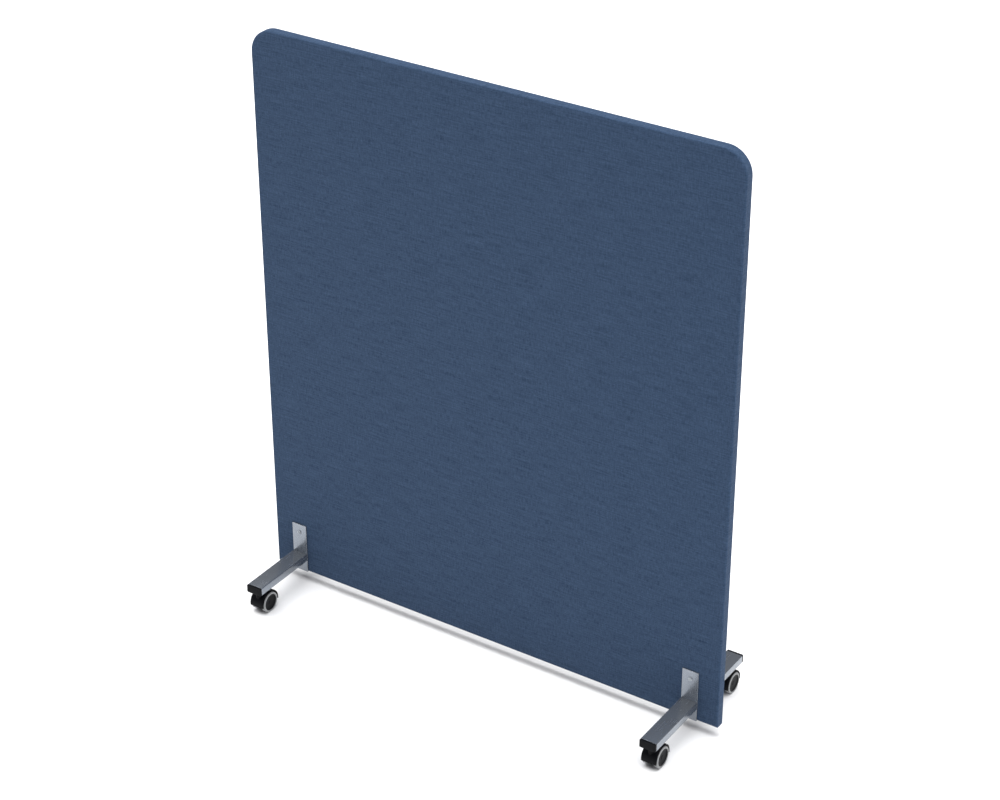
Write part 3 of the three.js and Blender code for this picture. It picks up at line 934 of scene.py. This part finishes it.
def housing_mesh():
    """The caster's body: hood, web between the wheels, axle boss and stem boss, bored for axle and stem."""
    low, high = foot_corners("caster_housing")
    half_width = (high.x - low.x) / 2
    mesh = hood_shell(half_width)
    web_radius = HOOD_RADIUS - HOOD_WALL / 2
    dip = math.degrees(hood_dip(web_radius))
    outline = arc_points((0, 0), web_radius, dip, 180 - dip, WEB_STEPS)
    web = loft("web", [[(x, y, z) for y, z in outline] for x in (-WEB_HALF_WIDTH, WEB_HALF_WIDTH)])
    mesh = combined(mesh, web, "UNION")
    boss_ends = [(AXLE_BOSS_RADIUS, -AXLE_BOSS_HALF_WIDTH), (AXLE_BOSS_RADIUS, AXLE_BOSS_HALF_WIDTH)]
    mesh = combined(mesh, turned("axle_boss", boss_ends, "X", segments=64), "UNION")
    mesh.transform(Matrix.Translation((0, TRAIL * MM, AXLE_HEIGHT * MM)))
    rows = [
        (STEM_BOSS_RADIUS - BOSS_CHAMFER, STEM_BOSS_BOTTOM),
        (STEM_BOSS_RADIUS, STEM_BOSS_BOTTOM + BOSS_CHAMFER),
        (STEM_BOSS_RADIUS, STEM_BOSS_TOP - BOSS_TOP_CHAMFER),
        (STEM_BOSS_RADIUS - BOSS_TOP_CHAMFER, STEM_BOSS_TOP),
    ]
    mesh = combined(mesh, turned("stem_boss", rows, segments=64), "UNION")
    stem_bore = ("Z", (0, 0, STEM_BOSS_TOP), STEM_RADIUS + FIT_GAP, STEM_BOSS_TOP - STEM_BORE_BOTTOM)
    axle_bore = ("X", (0, TRAIL, AXLE_HEIGHT), AXLE_BORE, half_width + 1)
    return drilled(mesh, [stem_bore, axle_bore])


def core_mesh(inner_face, outer_face, bore_end):
    """The right wheel's black core: dished outside, with a hub and a rim behind it."""
    face = outer_face - FACE_INSET
    outside = [
        (HUB_MIDDLE, face),
        (HUB_RADIUS, face),
        (HUB_RADIUS + 0.6, face - DISH_DEPTH),
        (DISH_RADIUS, face - DISH_DEPTH),
        (DISH_RADIUS + 1.8, face - 0.2),
        (LIP_RADIUS - 0.7, outer_face - 0.35),
        (LIP_RADIUS, outer_face - 0.1),
        (LIP_RADIUS + 0.6, outer_face - 0.15),
        (CORE_RADIUS, outer_face - 0.6),
    ]
    inside = [
        (CORE_RADIUS, inner_face + 0.3),
        (CORE_RADIUS - 0.3, inner_face),
        (CORE_RADIUS - RIM_WALL, inner_face),
        (CORE_RADIUS - RIM_WALL, face - CORE_WALL),
        (2 * AXLE_BORE, face - CORE_WALL),
        (2 * AXLE_BORE, inner_face),
        (AXLE_BORE, inner_face),
        (AXLE_BORE, bore_end),
    ]
    return turned("core", outside + inside, axis="X", segments=128)


def tread_mesh(low_x, high_x, radius):
    """The right wheel's tread: a ring with softly rounded shoulders and a slight crown."""
    inner = CORE_RADIUS + FIT_GAP
    middle = (low_x + high_x) / 2
    outline = filleted(
        [
            (inner, low_x, TREAD_INNER_EDGE),
            (radius - TREAD_CROWN, low_x, TREAD_EDGE),
            (radius, middle, 0),
            (radius - TREAD_CROWN, high_x, TREAD_EDGE),
            (inner, high_x, TREAD_INNER_EDGE),
        ]
    )
    return turned("tread", outline, axis="X", joined=True, segments=128)


def add_feet():
    """Four half feet with their casters. The meshes are those of the front left one, moved and turned."""
    tube_left = cad_corners("foot_tube_front_left")
    foot_x = (tube_left[0].x + tube_left[1].x) / 2
    plate = plate_mesh()
    tube = tube_mesh()
    cap = cap_mesh()
    stem = stem_mesh()
    housing = housing_mesh()
    core_low, core_high = cad_corners("wheel_core_front_left_a")
    tread_low, tread_high = cad_corners("wheel_tread_front_left_a")
    axle_high = cad_corners("caster_axle_front_left")[1]
    core = core_mesh(core_low.x - foot_x, core_high.x - foot_x, axle_high.x - foot_x + FIT_GAP)
    tread = tread_mesh(tread_low.x - foot_x, tread_high.x - foot_x, tread_high.z - AXLE_HEIGHT)
    bush_low, bush_high = foot_corners("caster_bush")
    stem_y = (bush_low.y + bush_high.y) / 2

    for side, x in (("left", foot_x), ("right", -foot_x)):
        for face, turn in (("front", 0), ("rear", math.pi)):
            end = f"{face}_{side}"
            foot = Matrix.Translation((x * MM, 0, 0)) @ Matrix.Rotation(turn, 4, "Z")
            caster = foot @ Matrix.Translation((0, stem_y * MM, 0))
            plate_node = f"mounting_plate_{end}"
            add_piece(f"plate_{end}", plate, foot, "screen", plate_node, "silver_steel", "silver_plate")
            add_piece(f"tube_{end}", tube, foot, "screen", f"foot_tube_{end}", "silver_steel")
            add_piece(f"cap_{end}", cap, foot, "screen", f"end_cap_{end}", "black_plastic")
            add_piece(f"stem_{end}", stem, caster, "screen", f"caster_stem_{end}", "zinc_steel")
            housing_node = f"caster_housing_{end}"
            add_piece(f"hood_{end}", housing, caster, f"swivel_{end}", housing_node, "black_plastic")
            for wheel, half_turn in (("a", 0), ("b", math.pi)):
                axle = caster @ Matrix.Translation((0, TRAIL * MM, AXLE_HEIGHT * MM))
                hub = axle @ Matrix.Rotation(half_turn, 4, "Z")
                which = f"{end}_{wheel}"
                body = f"wheel_{which}"
                add_piece(f"core_{which}", core, hub, body, f"wheel_core_{which}", "black_plastic")
                add_piece(f"tread_{which}", tread, hub, body, f"wheel_tread_{which}", "grey_tread")


# --- CAD nodes that stay as they are --------------------------------------------------------------


def finish_cad_nodes():
    """Gives the pieces that keep their CAD shape the material of their slot."""
    slots = {part["node"]: part["material_slot"] for part in frame["record"]["subparts"]}
    kept = list(PANEL_CORE)
    for face in ("front", "rear"):
        for side in ("left", "right"):
            kept += [f"caster_bush_{face}_{side}", f"caster_axle_{face}_{side}"]
    for node in kept:
        frame["nodes"][node].material_slots[0].material = MATERIALS[slots[node]]


# --- Stage ----------------------------------------------------------------------------------------


def add_camera():
    camera = bpy.data.objects.new("camera", bpy.data.cameras.new("camera"))
    camera.data.sensor_width = CAMERA_SENSOR
    camera.data.lens = CAMERA_LENS
    camera.data.clip_end = CAMERA_REACH
    upright = Matrix.Rotation(math.radians(CAMERA_AZIMUTH), 4, "Z")
    tilted = Matrix.Rotation(math.radians(90 - CAMERA_ELEVATION), 4, "X")
    rolled = Matrix.Rotation(math.radians(CAMERA_ROLL), 4, "Z")
    camera.matrix_world = Matrix.Translation(CAMERA_PLACE) @ upright @ tilted @ rolled
    bpy.context.scene.collection.objects.link(camera)
    bpy.context.scene.camera = camera


def add_floor():
    reach = FLOOR_HALF_SIZE
    mesh = bpy.data.meshes.new("floor")
    corners = [(-reach, -reach), (reach, -reach), (reach, reach), (-reach, reach)]
    mesh.from_pydata([(x, y, -FLOOR_DROP) for x, y in corners], [], [(0, 1, 2, 3)])
    shader = Shader("pale_floor")
    speckle = shader.noise(shader.place(), scale=60.0, detail=3.0)
    shader.set(
        Base_Color=shader.blend(speckle, FLOOR_DARK, FLOOR_LIGHT),
        Roughness=0.9,
        Specular_IOR_Level=0.1,
    )
    mesh.materials.append(shader.material)
    floor = bpy.data.objects.new("floor", mesh)
    bpy.context.scene.collection.objects.link(floor)


def add_lights():
    world = bpy.data.worlds.new("sky")
    world.use_nodes = True
    background = world.node_tree.nodes["Background"]
    background.inputs["Color"].default_value = (*SKY_COLOUR, 1.0)
    background.inputs["Strength"].default_value = SKY_STRENGTH
    bpy.context.scene.world = world
    for (strength, angle), tilts in ((OVERHEAD_LIGHT, OVERHEAD_TILTS), (SIDE_LIGHT, SIDE_TILTS)):
        for about_x, about_y in tilts:
            sun = bpy.data.objects.new("soft_sun", bpy.data.lights.new("soft_sun", "SUN"))
            sun.data.energy = strength
            sun.data.angle = math.radians(angle)
            sun.rotation_euler = (math.radians(about_x), math.radians(about_y), 0)
            bpy.context.scene.collection.objects.link(sun)


add_camera()
add_floor()
add_lights()
add_cover()
add_underside_strip()
add_feet()
add_fasteners()
finish_cad_nodes()
bpy.context.scene.view_settings.view_transform = "Standard"
